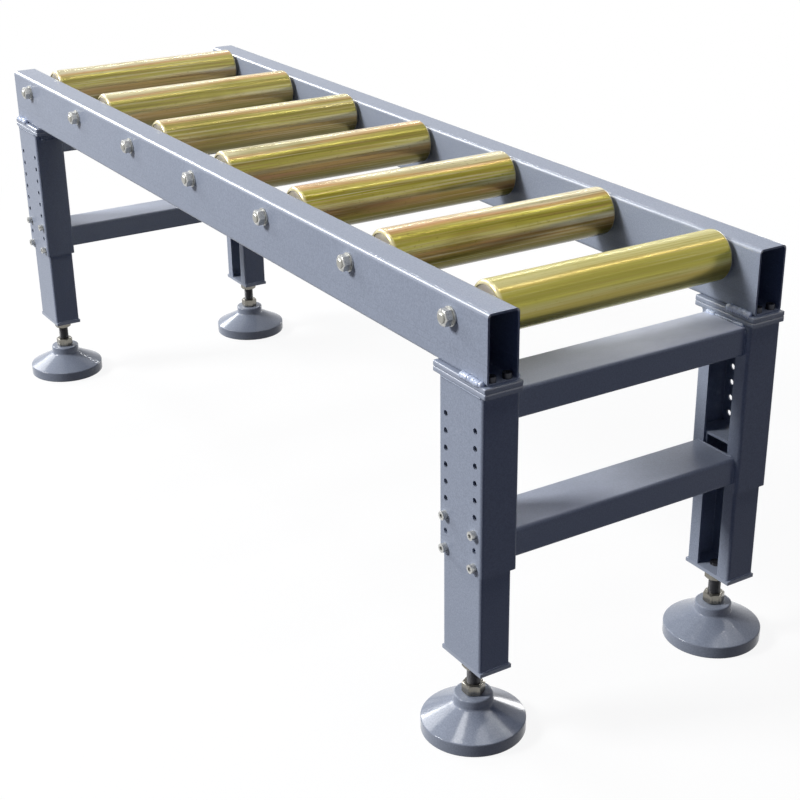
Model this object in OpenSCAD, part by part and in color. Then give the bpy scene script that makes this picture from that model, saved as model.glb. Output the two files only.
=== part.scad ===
// Roller conveyor on four height-adjustable legs.
// Origin on the floor under the middle of the frame: X runs along the rails,
// Y across them and Z up. Left is -Y, right is +Y, front is +X and rear is -X.

/* [Frame] */

// length of each side rail
frame_length = 1760; // [1200:10:2400]
// width over the outer faces of both rails
frame_width = 514; // [440:2:800]
// height of the rail tops above the floor, feet and legs as stored
rail_top_height = 667; // [640:1:760]

/* [Side rails] */

// height of the rail section
rail_height = 100; // [90:1:110]
// width of the rail section
rail_width = 50; // [46:1:60]
// wall thickness of the rail section
rail_wall = 3; // [2:0.5:4]
// outer corner radius of the rail section
rail_corner = 6; // [4.5:0.5:8]

/* [Rollers] */

// outside diameter of the roller tube
roller_diameter = 76; // [70:1:80]
// wall thickness of the roller tube
roller_wall = 3; // [2:0.5:4]
// outer radius of the rolled-in end of the tube
roller_roll = 6; // [5:0.5:7]
// gap between the end of a tube and the rail
roller_side_gap = 5; // [3:0.5:10]
// from the rear end of the frame to the first axle
first_roller_inset = 92; // [60:1:110]
// from the last axle to the front end of the frame
last_roller_inset = 84; // [60:1:110]
// from the top of the rail down to the axles
axle_drop = 28; // [26:1:40]

/* [Axles] */

// shaft diameter between the rails
axle_diameter = 20; // [18:1:20]
// thread diameter of the two axle ends
axle_thread = 14; // [12:1:16]
// how far the thread stands out of its nut
axle_thread_end = 2.5; // [1:0.5:5]
// thickness of an axle nut
axle_nut_height = 12; // [10:0.5:14]
// width over the flats of an axle nut
axle_nut_flats = 22; // [19:1:24]
// diameter of the washer under an axle nut
axle_washer_diameter = 28; // [24:1:34]
// thickness of the washer
axle_washer_height = 2.5; // [1:0.5:4]
// diameter of the tube that stops a rail being crushed
axle_sleeve_diameter = 22; // [20:1:28]

/* [Roller ends] */

// how deep the face of the pressed end sits inside the rolled-in tube
end_recess = 1.5; // [0.5:0.5:3]
// sheet thickness of the pressed end
end_sheet = 2.5; // [1.5:0.5:3]
// length of the rim that holds the pressed end in the tube
end_rim = 10; // [6:1:20]
// outside diameter of the ball bearing
bearing_diameter = 47; // [42:1:52]
// width of the ball bearing
bearing_width = 14; // [12:1:16]
// radial thickness of a bearing ring
bearing_ring = 3; // [2:0.5:4]
// thickness of the shield that closes the bearing
bearing_shield = 0.8; // [0.5:0.1:1.5]

/* [Legs] */

// from the end of the rail to the middle of a leg
leg_inset = 53.5; // [52:0.5:120]
// width of the outer leg along the rail
outer_leg_width = 103; // [100:1:110]
// depth of the outer leg across the rail
outer_leg_depth = 60; // [58:1:70]
// height of the outer leg
outer_leg_height = 267; // [260:1:284]
// lip of the outer leg beside its open side
outer_leg_lip = 25; // [20:1:28]
// lip of the inner leg beside its open side
inner_leg_lip = 24; // [18:1:24]
// sheet thickness of both channels of a leg
leg_sheet = 3; // [2.5:0.5:3.5]
// outer bending radius of both channels
leg_bend = 4.5; // [4:0.5:6]
// gap between the webs of outer and inner leg
leg_web_gap = 0.5; // [0.3:0.1:1]
// gap between the lips of outer and inner leg
leg_lip_gap = 1.5; // [0.5:0.1:2]
// gap on each side of the inner leg when it stands in the middle
leg_side_gap = 2; // [1.5:0.1:2.5]
// how far the inner leg stands from there towards the middle of the frame
inner_leg_shift = 1; // [0:0.5:1]
// from the upper leg screws to the top of the inner leg
inner_leg_head = 12; // [11:0.5:16]
// thickness of the cap on the inner leg
inner_leg_cap = 4; // [3:0.5:4]

/* [Height holes] */

// rows of holes in each outer leg, the lowest of which holds leg screws
hole_rows = 9; // [6:1:9]
// rows from the lower leg screws up to the upper ones
screw_row_step = 2; // [1:1:3]
// distance between the rows, one step of height
hole_pitch = 25.5; // [22:0.5:26]
// distance between the two columns
hole_columns = 70; // [56:1:70]
// diameter of the holes for leg screws and flange screws
hole_diameter = 9; // [8.5:0.5:10]
// from the top of the outer leg to the first row
first_hole_drop = 51; // [45:1:58]

/* [Cross members] */

// width of a crossbar along the rail
crossbar_width = 86; // [80:1:90]
// height of a crossbar
crossbar_height = 44; // [40:1:48]
// wall thickness of a crossbar
crossbar_wall = 3; // [2:0.5:4]
// outer corner radius of a crossbar
crossbar_corner = 4.5; // [4.5:0.5:8]
// from the leg plate down to the top of the upper crossbar
upper_crossbar_drop = 2; // [1:0.5:8]
// from the bottom of the outer leg up to the lower crossbar
lower_crossbar_rise = 12.5; // [10:0.5:40]

/* [Flange plates] */

// how far a flange plate stands out past the leg towards the end of the rail
plate_end_overhang = 6; // [5:0.5:12]
// how far it stands out past the leg towards the middle of the rail
plate_inner_overhang = 14.5; // [10:0.5:24]
// how far a flange plate stands out past the leg across the rail
plate_side_overhang = 1; // [0:0.5:5]
// thickness of a flange plate
plate_thickness = 8; // [5:0.5:9]
// from the end of a plate to its screws
plate_screw_inset = 12.5; // [12:0.5:20]
// distance between the two screws at one plate end
plate_screw_spacing = 25; // [16:1:27]

/* [Screws] */

// thread diameter of the cap screws
screw_thread = 8; // [7:0.5:8]
// head diameter of the cap screws
screw_head = 13; // [12:0.5:13]
// head height of the cap screws
screw_head_height = 8; // [6:0.5:8]
// width over the flats of the socket in the head
screw_socket = 6; // [5:0.5:7]
// depth of that socket
screw_socket_depth = 4; // [3:0.5:5]
// width over the flats of the nut inside the leg
screw_nut_flats = 13; // [12:0.5:13]
// thickness of that nut
screw_nut_height = 6.5; // [5:0.5:8]

/* [Base plates] */

// how far a base plate stands out past the inner leg along the rail
base_overhang = 2; // [0:0.5:5]
// how far a base plate stands out past the open side of the inner leg
base_side_overhang = 1; // [0:0.5:3]
// thickness of a base plate
base_thickness = 6; // [4:0.5:8]
// underside of a base plate above the floor
base_height = 122.5; // [118:0.5:126]

/* [Levelling feet] */

// how far the foot sits from the leg's middle towards the middle of the frame
foot_offset = 7.5; // [4:0.5:8]
// diameter of a foot
foot_diameter = 155; // [120:1:160]
// height of the upright band around a foot
foot_band = 21.5; // [16:0.5:23]
// rounding of the foot's edges
foot_round = 2.5; // [1:0.5:3]
// diameter of the hub
hub_diameter = 58; // [54:1:60]
// height at which the cone meets the hub
hub_base = 45.7; // [42:0.1:48]
// height of the top of the hub
hub_top = 61; // [58:0.5:62]
// thickness of the cone
foot_shell = 9; // [6:0.5:10]
// width of the rim that stands on the floor
foot_rim = 7.5; // [5:0.5:14]
// diameter of the boss around the ball
boss_diameter = 48; // [44:1:50]
// height of the underside of that boss
boss_height = 20; // [16:0.5:22]
// diameter of the ball at the lower end of the stud
ball_diameter = 24; // [22:0.5:24]
// height of the middle of the ball
ball_height = 40; // [39:0.5:41]
// diameter of the neck above the ball
neck_diameter = 14; // [12:0.5:15]
// diameter of the opening around the neck
neck_opening = 17; // [16:0.5:18]
// thread diameter of the stud
stud_diameter = 20; // [18:0.5:20]
// how far the stud stands out above the base plate
stud_end = 3.5; // [3:0.5:14]
// chamfer at the top of the stud
stud_chamfer = 1.5; // [0.5:0.5:2]
// width over the flats of the stud's hexagon and of the nut under the base plate
stud_flats = 30; // [28:0.5:32]
// height of the stud's hexagon
stud_hex_height = 16.5; // [14:0.5:18]
// thickness of the nut under the base plate
stud_nut_height = 18; // [14:0.5:18]

/* [Fits] */

// clearance of turning, screwed and pressed fits, and between pieces that are welded on
running_gap = 0.05; // [0.02:0.01:0.1]
// gap under the stud's hexagon
seat_gap = 0.3; // [0.2:0.05:0.4]
// gap between the inner ring of a bearing and what turns around it
shield_gap = 0.6; // [0.3:0.1:1]
// radial clearance of the drilled holes around axle ends
drill_gap = 0.25; // [0.1:0.05:0.5]
// how far a cut runs past the face that it opens
overrun = 1; // [0.5:0.5:2]

/* [Colours] */

// paint of the frame, the legs and the feet
paint_colour = "#8A90A6"; // [#8A90A6:slate blue, #6F7B73:grey green, #9A9A98:grey]
// passivated zinc of the rollers
roller_colour = "#A89A50"; // [#A89A50:yellow zinc, #B4B4AE:bright zinc]
// zinc of the screws, nuts, washers and studs
zinc_colour = "#C9C9C2"; // [#C9C9C2:bright zinc, #B9A95C:yellow zinc]
// black oxide of the flange screws
black_colour = "#2B2D33"; // [#2B2D33:black oxide, #C9C9C2:bright zinc]
// plain steel of the axles, sleeves and bearing rings
steel_colour = "#8C8C88"; // [#8C8C88:steel, #A9A9A6:light steel]
// pale pressed sheet of the roller ends
sheet_colour = "#B9B7A6"; // [#B9B7A6:pale zinc, #A89A50:yellow zinc]

/* [Hidden] */

$fn = 64;

// number of rollers, each with its own nodes below
roller_count = 7;
roller_pitch = (frame_length - first_roller_inset - last_roller_inset) / (roller_count - 1);

rail_end = frame_length / 2;
rail_y = (frame_width - rail_width) / 2;
rail_bottom = rail_top_height - rail_height;
rail_inner_y = frame_width / 2 - rail_width;

axle_height = rail_top_height - axle_drop;
axle_end_y = frame_width / 2 + axle_washer_height + axle_nut_height + axle_thread_end;
axle_hole = axle_thread + 2 * drill_gap;
roller_length = 2 * (rail_inner_y - roller_side_gap);
tube_bore = roller_diameter - 2 * roller_wall;
inner_ring_diameter = axle_diameter + 2 * bearing_ring;

leg_x = rail_end - leg_inset;
outer_leg_top = rail_bottom - 2 * plate_thickness;
outer_leg_bottom = outer_leg_top - outer_leg_height;
inner_leg_width = outer_leg_width - 2 * leg_sheet - 2 * leg_side_gap;
inner_leg_depth = outer_leg_depth - 2 * leg_sheet - leg_web_gap - leg_lip_gap;
outer_web_y = outer_leg_depth / 2;
inner_web_y = outer_web_y - leg_sheet - leg_web_gap;
inner_leg_y = inner_web_y - inner_leg_depth / 2;
inner_leg_bottom = base_height + base_thickness;

first_hole_height = outer_leg_top - first_hole_drop;
screwed_rows = [hole_rows - screw_row_step, hole_rows];
inner_leg_top = first_hole_height - (screwed_rows[0] - 1) * hole_pitch + inner_leg_head;

crossbar_length = 2 * (rail_y - outer_leg_depth / 2);
upper_crossbar_height = outer_leg_top - upper_crossbar_drop - crossbar_height / 2;
lower_crossbar_height = outer_leg_bottom + lower_crossbar_rise + crossbar_height / 2;

plate_length = outer_leg_width + plate_end_overhang + plate_inner_overhang;
plate_middle = (plate_end_overhang - plate_inner_overhang) / 2;
plate_width = outer_leg_depth + 2 * plate_side_overhang;
base_length = inner_leg_width + 2 * base_overhang;
base_width = inner_leg_depth + base_side_overhang;

hex_bottom = hub_top + seat_gap;
stud_top = inner_leg_bottom + stud_end;

// chamfer of the hexagon nuts: its circle on the end face as a share of the
// width over the flats, and its slope in degrees
nut_face_share = 0.95;
nut_slope = 30;
// half the angle between two corners of a hexagon
hexagon_half_angle = 30;
// degrees between the points of a rounded corner
arc_step = 15;

front = 1;
rear = -1;
left = -1;
right = 1;
rollers = [1 : roller_count];

// Places

function roller_x(number) = first_roller_inset - rail_end + (number - 1) * roller_pitch;
function row_height(row) = first_hole_height - (row - 1) * hole_pitch;

// puts a piece drawn for the front right corner at any corner
module mirrored(end, side) {
    mirror([end < 0 ? 1 : 0, 0, 0])
        mirror([0, side < 0 ? 1 : 0, 0])
            children();
}

// the same, with the leg's middle as the origin
module at_leg(end, side) {
    mirrored(end, side)
        translate([leg_x, rail_y, 0])
            children();
}

// both ends of one axle, drawn for the right end, pointing out along Z
module at_axle_ends(number) {
    for (side = [left, right])
        translate([roller_x(number), 0, axle_height])
            rotate([-90 * side, 0, 0])
                children();
}

// the four screw places of a flange plate
module at_plate_screws() {
    for (x = [-1, 1], y = [-1, 1])
        translate([plate_middle + x * (plate_length / 2 - plate_screw_inset), y * plate_screw_spacing / 2, 0])
            children();
}

// the hole places in a leg's web, pointing out along Z
module at_leg_holes(rows) {
    for (row = rows, column = [-1, 1])
        translate([column * hole_columns / 2, 0, row_height(row)])
            rotate([-90, 0, 0])
                children();
}

// Sections

module rounded_section(width, height, radius) {
    square([width - 2 * radius, height], center = true);
    square([width, height - 2 * radius], center = true);
    for (x = [-1, 1], y = [-1, 1])
        translate([x * (width / 2 - radius), y * (height / 2 - radius)])
            circle(r = radius);
}

module hollow_section(width, height, wall, radius) {
    difference() {
        rounded_section(width, height, radius);
        rounded_section(width - 2 * wall, height - 2 * wall, radius - wall);
    }
}

// channel with lips, its web at +Y and its open side at -Y
module lipped_section(width, depth, lip) {
    difference() {
        hollow_section(width, depth, leg_sheet, leg_bend);
        translate([0, -depth / 2])
            square([width - 2 * lip, 2 * leg_sheet + overrun], center = true);
    }
}

// Turned pieces, all standing on the origin

module ring(height, outer, bore) {
    difference() {
        cylinder(h = height, d = outer);
        translate([0, 0, -overrun])
            cylinder(h = height + 2 * overrun, d = bore);
    }
}

module hexagon(flats, height) {
    cylinder(h = height, r = flats / 2 / cos(hexagon_half_angle), $fn = 6);
}

// hexagon with both ends chamfered
module chamfered_hexagon(flats, height) {
    face = nut_face_share * flats / 2;
    reach = flats / 2 / cos(hexagon_half_angle) + overrun;
    drop = (reach - face) * tan(nut_slope);
    intersection() {
        hexagon(flats, height);
        rotate_extrude()
            polygon([
                [0, 0], [face, 0], [reach, drop],
                [reach, height - drop], [face, height], [0, height]
            ]);
    }
}

module hex_nut(flats, height, bore) {
    difference() {
        chamfered_hexagon(flats, height);
        translate([0, 0, -overrun])
            cylinder(h = height + 2 * overrun, d = bore);
    }
}

// cap screw pointing down along Z, the underside of its head at the origin
module cap_screw(length) {
    difference() {
        cylinder(h = screw_head_height, d = screw_head);
        translate([0, 0, screw_head_height - screw_socket_depth])
            hexagon(screw_socket, screw_socket_depth + overrun);
    }
    translate([0, 0, -length])
        cylinder(h = length, d = screw_thread);
}

// Side rails

module side_rail(side) {
    color(paint_colour)
        difference() {
            translate([0, side * rail_y, rail_bottom + rail_height / 2])
                rotate([90, 0, 90])
                    linear_extrude(frame_length, center = true)
                        hollow_section(rail_width, rail_height, rail_wall, rail_corner);
            for (number = rollers)
                translate([roller_x(number), side * rail_y, axle_height])
                    rotate([90, 0, 0])
                        cylinder(h = rail_width + 2 * overrun, d = axle_hole, center = true);
            for (end = [front, rear])
                at_leg(end, side)
                    translate([0, 0, rail_bottom - overrun])
                        at_plate_screws()
                            cylinder(h = rail_wall + 2 * overrun, d = hole_diameter);
        }
}

module left_rail() side_rail(left);
module right_rail() side_rail(right);

// Flange plates between the rails and the legs

module flange_plate(end, side, height, bore) {
    color(paint_colour)
        at_leg(end, side)
            difference() {
                translate([plate_middle - plate_length / 2, -plate_width / 2, height])
                    cube([plate_length, plate_width, plate_thickness]);
                translate([0, 0, height - overrun])
                    at_plate_screws()
                        cylinder(h = plate_thickness + 2 * overrun, d = bore);
            }
}

module rail_plates(end) {
    for (side = [left, right])
        flange_plate(end, side, rail_bottom - plate_thickness, hole_diameter);
}

module leg_plates(end) {
    for (side = [left, right])
        flange_plate(end, side, outer_leg_top, screw_thread + 2 * running_gap);
}

module flange_screws() {
    color(black_colour)
        for (end = [front, rear], side = [left, right])
            at_leg(end, side)
                translate([0, 0, rail_bottom + rail_wall])
                    at_plate_screws()
                        cap_screw(rail_wall + 2 * plate_thickness);
}

// Outer legs and crossbars

module outer_leg(end, side) {
    color(paint_colour)
        at_leg(end, side)
            difference() {
                translate([0, 0, outer_leg_bottom])
                    linear_extrude(outer_leg_height)
                        lipped_section(outer_leg_width, outer_leg_depth, outer_leg_lip);
                translate([0, outer_web_y - leg_sheet - overrun, 0])
                    at_leg_holes([1 : hole_rows])
                        cylinder(h = leg_sheet + 2 * overrun, d = hole_diameter);
            }
}

module crossbar(end, height) {
    color(paint_colour)
        translate([end * leg_x, 0, height])
            rotate([90, 0, 0])
                linear_extrude(crossbar_length, center = true)
                    hollow_section(crossbar_width, crossbar_height, crossbar_wall, crossbar_corner);
}

// Axles and what holds them

module roller_axle(number) {
    chamfer = axle_thread_end / 2;
    color(steel_colour)
        translate([roller_x(number), 0, axle_height])
            rotate([90, 0, 0]) {
                cylinder(h = 2 * rail_inner_y, d = axle_diameter, center = true);
                cylinder(h = 2 * (axle_end_y - chamfer), d = axle_thread, center = true);
                for (turn = [0, 180])
                    rotate([turn, 0, 0])
                        translate([0, 0, axle_end_y - chamfer])
                            cylinder(h = chamfer, r1 = axle_thread / 2, r2 = axle_thread / 2 - chamfer);
            }
}

module axle_nuts() {
    color(zinc_colour)
        for (number = rollers)
            at_axle_ends(number)
                translate([0, 0, frame_width / 2 + axle_washer_height])
                    hex_nut(axle_nut_flats, axle_nut_height, axle_thread + 2 * running_gap);
}

module axle_washers() {
    color(zinc_colour)
        for (number = rollers)
            at_axle_ends(number)
                translate([0, 0, frame_width / 2])
                    ring(axle_washer_height, axle_washer_diameter, axle_hole);
}

module axle_sleeves() {
    color(steel_colour)
        for (number = rollers)
            at_axle_ends(number)
                translate([0, 0, rail_inner_y + rail_wall])
                    ring(rail_width - 2 * rail_wall, axle_sleeve_diameter, axle_hole);
}

module bearing_inner_rings() {
    color(steel_colour)
        for (number = rollers)
            at_axle_ends(number)
                translate([0, 0, roller_length / 2 - end_recess - end_sheet - bearing_width])
                    ring(bearing_width, inner_ring_diameter, axle_diameter + 2 * running_gap);
}

// Rollers

// wall of the tube with both ends rolled in, drawn as radius and place along the axle
module tube_profile() {
    bend = roller_length / 2 - roller_roll;
    middle = roller_diameter / 2 - roller_roll;
    translate([tube_bore / 2, -bend])
        square([roller_wall, 2 * bend]);
    for (turn = [0, 1])
        mirror([0, turn, 0])
            translate([middle, bend])
                intersection() {
                    difference() {
                        circle(r = roller_roll);
                        circle(r = roller_roll - roller_wall);
                    }
                    square([roller_roll, roller_roll]);
                }
}

module roller_tube(number) {
    color(roller_colour)
        translate([roller_x(number), 0, axle_height])
            rotate([90, 0, 0])
                rotate_extrude()
                    tube_profile();
}

// pressed end with its collar, rim and bearing seat, drawn as radius and depth below its outer face
module pressed_end_profile() {
    hole = inner_ring_diameter / 2 + shield_gap;
    seat = bearing_diameter / 2 + running_gap;
    collar = roller_diameter / 2 - roller_roll - running_gap;
    rim = tube_bore / 2 - running_gap;
    shoulder = roller_roll + running_gap - end_recess;
    translate([hole, -end_sheet])
        square([collar - hole, end_sheet]);
    translate([collar - end_sheet, -shoulder - end_sheet])
        square([end_sheet, shoulder + end_sheet]);
    translate([collar - end_sheet, -shoulder - end_sheet])
        square([rim - collar + end_sheet, end_sheet]);
    translate([rim - end_sheet, -shoulder - end_rim])
        square([end_sheet, end_rim]);
    translate([seat, -end_sheet - bearing_width])
        square([end_sheet, end_sheet + bearing_width]);
}

// outer ring of the bearing with its two shields, drawn the same way
module outer_ring_profile() {
    outer = bearing_diameter / 2;
    bore = outer - bearing_ring;
    shield_hole = inner_ring_diameter / 2 + shield_gap;
    face = end_sheet + running_gap;
    translate([bore, -face - bearing_width])
        square([bearing_ring, bearing_width]);
    for (depth = [2 * bearing_shield, bearing_width - bearing_shield])
        translate([shield_hole, -face - depth])
            square([bore - shield_hole, bearing_shield]);
}

module roller_ends(number) {
    color(sheet_colour)
        at_axle_ends(number)
            translate([0, 0, roller_length / 2 - end_recess]) {
                rotate_extrude()
                    pressed_end_profile();
                rotate_extrude()
                    outer_ring_profile();
            }
}

// Inner legs

// channel with its cap
module inner_leg(end, side) {
    cap_bottom = inner_leg_top - inner_leg_cap;
    color(paint_colour)
        at_leg(end, side) {
            difference() {
                translate([-inner_leg_shift, inner_leg_y, inner_leg_bottom])
                    linear_extrude(cap_bottom - running_gap - inner_leg_bottom)
                        lipped_section(inner_leg_width, inner_leg_depth, inner_leg_lip);
                translate([0, inner_web_y - leg_sheet - overrun, 0])
                    at_leg_holes(screwed_rows)
                        cylinder(h = leg_sheet + 2 * overrun, d = hole_diameter);
            }
            translate([-inner_leg_shift, inner_leg_y, cap_bottom])
                linear_extrude(inner_leg_cap)
                    rounded_section(inner_leg_width, inner_leg_depth, leg_bend);
        }
}

// plate under the inner leg with the nut of the levelling stud
module base_plate(end, side) {
    bore = stud_diameter + 2 * running_gap;
    at_leg(end, side) {
        color(paint_colour)
            difference() {
                translate([-inner_leg_shift - base_length / 2, inner_web_y - base_width, base_height])
                    cube([base_length, base_width, base_thickness]);
                translate([-foot_offset, 0, base_height - overrun])
                    cylinder(h = base_thickness + 2 * overrun, d = bore);
            }
        color(zinc_colour)
            translate([-foot_offset, 0, base_height - running_gap - stud_nut_height])
                hex_nut(stud_flats, stud_nut_height, bore);
    }
}

// screws through both webs, each with its nut inside the leg
module leg_screws(end, side) {
    nut_seat = inner_web_y - leg_sheet;
    length = outer_web_y - nut_seat + screw_nut_height + leg_sheet;
    color(zinc_colour)
        at_leg(end, side) {
            translate([0, outer_web_y, 0])
                at_leg_holes(screwed_rows)
                    cap_screw(length);
            translate([0, nut_seat - screw_nut_height, 0])
                at_leg_holes(screwed_rows)
                    rotate(hexagon_half_angle)
                        hex_nut(screw_nut_flats, screw_nut_height, screw_thread + 2 * running_gap);
        }
}

// Levelling feet

// ball, neck, hexagon and thread in one piece
module levelling_stud(end, side) {
    hex_top = hex_bottom + stud_hex_height;
    chamfer_bottom = stud_top - stud_chamfer;
    color(zinc_colour)
        at_leg(end, side)
            translate([-foot_offset, 0, 0]) {
                translate([0, 0, ball_height])
                    sphere(d = ball_diameter);
                translate([0, 0, ball_height])
                    cylinder(h = hex_bottom - ball_height, d = neck_diameter);
                translate([0, 0, hex_bottom])
                    chamfered_hexagon(stud_flats, stud_hex_height);
                translate([0, 0, hex_top])
                    cylinder(h = chamfer_bottom - hex_top, d = stud_diameter);
                translate([0, 0, chamfer_bottom])
                    cylinder(h = stud_chamfer, r1 = stud_diameter / 2, r2 = stud_diameter / 2 - stud_chamfer);
            }
}

// points of a rounded corner: its middle, its first angle and its last angle
function corner_arc(middle, from, to) = [
    for (angle = [from : arc_step : to])
        middle + foot_round * [cos(angle), sin(angle)]
];

// half sections of the foot and of its hollow, drawn as radius and height
function foot_outline() = concat(
    [[0, 0], [foot_diameter / 2, 0]],
    corner_arc([foot_diameter / 2 - foot_round, foot_band - foot_round], 0, 60),
    [[hub_diameter / 2, hub_base]],
    corner_arc([hub_diameter / 2 - foot_round, hub_top - foot_round], 0, 90),
    [[0, hub_top]]
);

function foot_hollow() = [
    [0, -overrun],
    [foot_diameter / 2 - foot_rim, -overrun],
    [foot_diameter / 2 - foot_rim, foot_band + foot_rim / 2 - foot_shell],
    [boss_diameter / 2, hub_base + foot_round - foot_shell],
    [boss_diameter / 2, boss_height],
    [0, boss_height]
];

module foot(end, side) {
    color(paint_colour)
        at_leg(end, side)
            translate([-foot_offset, 0, 0])
                difference() {
                    rotate_extrude()
                        polygon(foot_outline());
                    rotate_extrude()
                        polygon(foot_hollow());
                    translate([0, 0, ball_height])
                        sphere(r = ball_diameter / 2 + running_gap);
                    translate([0, 0, ball_height])
                        cylinder(h = hub_top - ball_height + overrun, d = neck_opening);
                }
}

left_rail();
right_rail();
rail_plates(front);  // rail_plates_front
rail_plates(rear);  // rail_plates_rear
leg_plates(front);  // leg_plates_front
leg_plates(rear);  // leg_plates_rear
outer_leg(front, left);  // outer_leg_front_left
outer_leg(front, right);  // outer_leg_front_right
outer_leg(rear, left);  // outer_leg_rear_left
outer_leg(rear, right);  // outer_leg_rear_right
crossbar(front, upper_crossbar_height);  // upper_crossbar_front
crossbar(front, lower_crossbar_height);  // lower_crossbar_front
crossbar(rear, upper_crossbar_height);  // upper_crossbar_rear
crossbar(rear, lower_crossbar_height);  // lower_crossbar_rear
flange_screws();
roller_axle(1);  // roller_axle_1
roller_axle(2);  // roller_axle_2
roller_axle(3);  // roller_axle_3
roller_axle(4);  // roller_axle_4
roller_axle(5);  // roller_axle_5
roller_axle(6);  // roller_axle_6
roller_axle(7);  // roller_axle_7
axle_nuts();
axle_washers();
axle_sleeves();
bearing_inner_rings();
roller_tube(1);  // roller_tube_1
roller_tube(2);  // roller_tube_2
roller_tube(3);  // roller_tube_3
roller_tube(4);  // roller_tube_4
roller_tube(5);  // roller_tube_5
roller_tube(6);  // roller_tube_6
roller_tube(7);  // roller_tube_7
roller_ends(1);  // roller_ends_1
roller_ends(2);  // roller_ends_2
roller_ends(3);  // roller_ends_3
roller_ends(4);  // roller_ends_4
roller_ends(5);  // roller_ends_5
roller_ends(6);  // roller_ends_6
roller_ends(7);  // roller_ends_7
inner_leg(front, left);  // inner_leg_front_left
inner_leg(front, right);  // inner_leg_front_right
inner_leg(rear, left);  // inner_leg_rear_left
inner_leg(rear, right);  // inner_leg_rear_right
base_plate(front, left);  // base_plate_front_left
base_plate(front, right);  // base_plate_front_right
base_plate(rear, left);  // base_plate_rear_left
base_plate(rear, right);  // base_plate_rear_right
leg_screws(front, left);  // leg_screws_front_left
leg_screws(front, right);  // leg_screws_front_right
leg_screws(rear, left);  // leg_screws_rear_left
leg_screws(rear, right);  // leg_screws_rear_right
levelling_stud(front, left);  // levelling_stud_front_left
levelling_stud(front, right);  // levelling_stud_front_right
levelling_stud(rear, left);  // levelling_stud_rear_left
levelling_stud(rear, right);  // levelling_stud_rear_right
foot(front, left);  // foot_front_left
foot(front, right);  // foot_front_right
foot(rear, left);  // foot_rear_left
foot(rear, right);  // foot_rear_right
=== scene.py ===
import math
import random

import bmesh
import bpy
from bpy.props import FloatProperty, FloatVectorProperty, IntProperty, PointerProperty
from mathutils import Matrix, Quaternion, Vector


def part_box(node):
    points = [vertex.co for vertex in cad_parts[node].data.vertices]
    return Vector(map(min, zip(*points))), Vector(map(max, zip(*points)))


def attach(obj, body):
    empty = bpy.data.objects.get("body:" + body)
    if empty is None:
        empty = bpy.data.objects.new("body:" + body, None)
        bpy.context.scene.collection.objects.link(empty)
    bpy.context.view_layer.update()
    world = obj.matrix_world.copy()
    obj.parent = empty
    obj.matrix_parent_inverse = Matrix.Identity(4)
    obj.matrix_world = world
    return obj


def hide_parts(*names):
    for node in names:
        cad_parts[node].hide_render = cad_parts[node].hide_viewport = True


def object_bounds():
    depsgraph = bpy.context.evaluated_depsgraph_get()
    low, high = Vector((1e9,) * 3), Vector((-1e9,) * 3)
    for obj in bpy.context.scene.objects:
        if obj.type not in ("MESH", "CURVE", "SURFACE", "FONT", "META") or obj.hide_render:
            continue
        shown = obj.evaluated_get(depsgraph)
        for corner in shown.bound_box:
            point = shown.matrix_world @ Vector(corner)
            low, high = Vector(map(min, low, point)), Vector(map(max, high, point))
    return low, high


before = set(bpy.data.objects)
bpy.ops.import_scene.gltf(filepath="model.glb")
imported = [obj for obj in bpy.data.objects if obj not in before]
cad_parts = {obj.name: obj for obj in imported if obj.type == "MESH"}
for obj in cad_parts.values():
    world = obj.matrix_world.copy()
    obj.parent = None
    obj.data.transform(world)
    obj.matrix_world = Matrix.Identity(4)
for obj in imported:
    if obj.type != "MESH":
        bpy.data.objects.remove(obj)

bl_info = {
    "name": "Roller conveyor",
    "version": (1, 0, 0),
    "blender": (4, 5, 0),
    "location": "3D View > Sidebar > Conveyor",
    "description": "Finishes a roller conveyor, welds its joints and lights it in a studio",
    "category": "Object",
}

CAD_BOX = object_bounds()

ENDS = {"front": 1, "rear": -1}
SIDES = {"left": -1, "right": 1}
CORNERS = [f"{end}_{side}" for end in ENDS for side in SIDES]
ROLLERS = range(1, 8)


def linear(code):
    """Scene-linear colour of a hexadecimal display colour."""
    shares = [int(code[i:i + 2], 16) / 255 for i in (0, 2, 4)]
    return tuple(s / 12.92 if s <= 0.04045 else ((s + 0.055) / 1.055) ** 2.4 for s in shares)


# Settings

def colour_setting(name, description, code):
    return FloatVectorProperty(name=name, description=description, subtype="COLOR", size=3,
                               min=0, max=1, default=linear(code))


def length_setting(name, description, default):
    return FloatProperty(name=name, description=description, default=default, min=0,
                         subtype="DISTANCE", unit="LENGTH")


def angle_setting(name, description, degrees):
    return FloatProperty(name=name, description=description, default=math.radians(degrees),
                         subtype="ANGLE", unit="ROTATION")


def level_setting(name, description, default):
    return FloatProperty(name=name, description=description, default=default, min=0)


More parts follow.
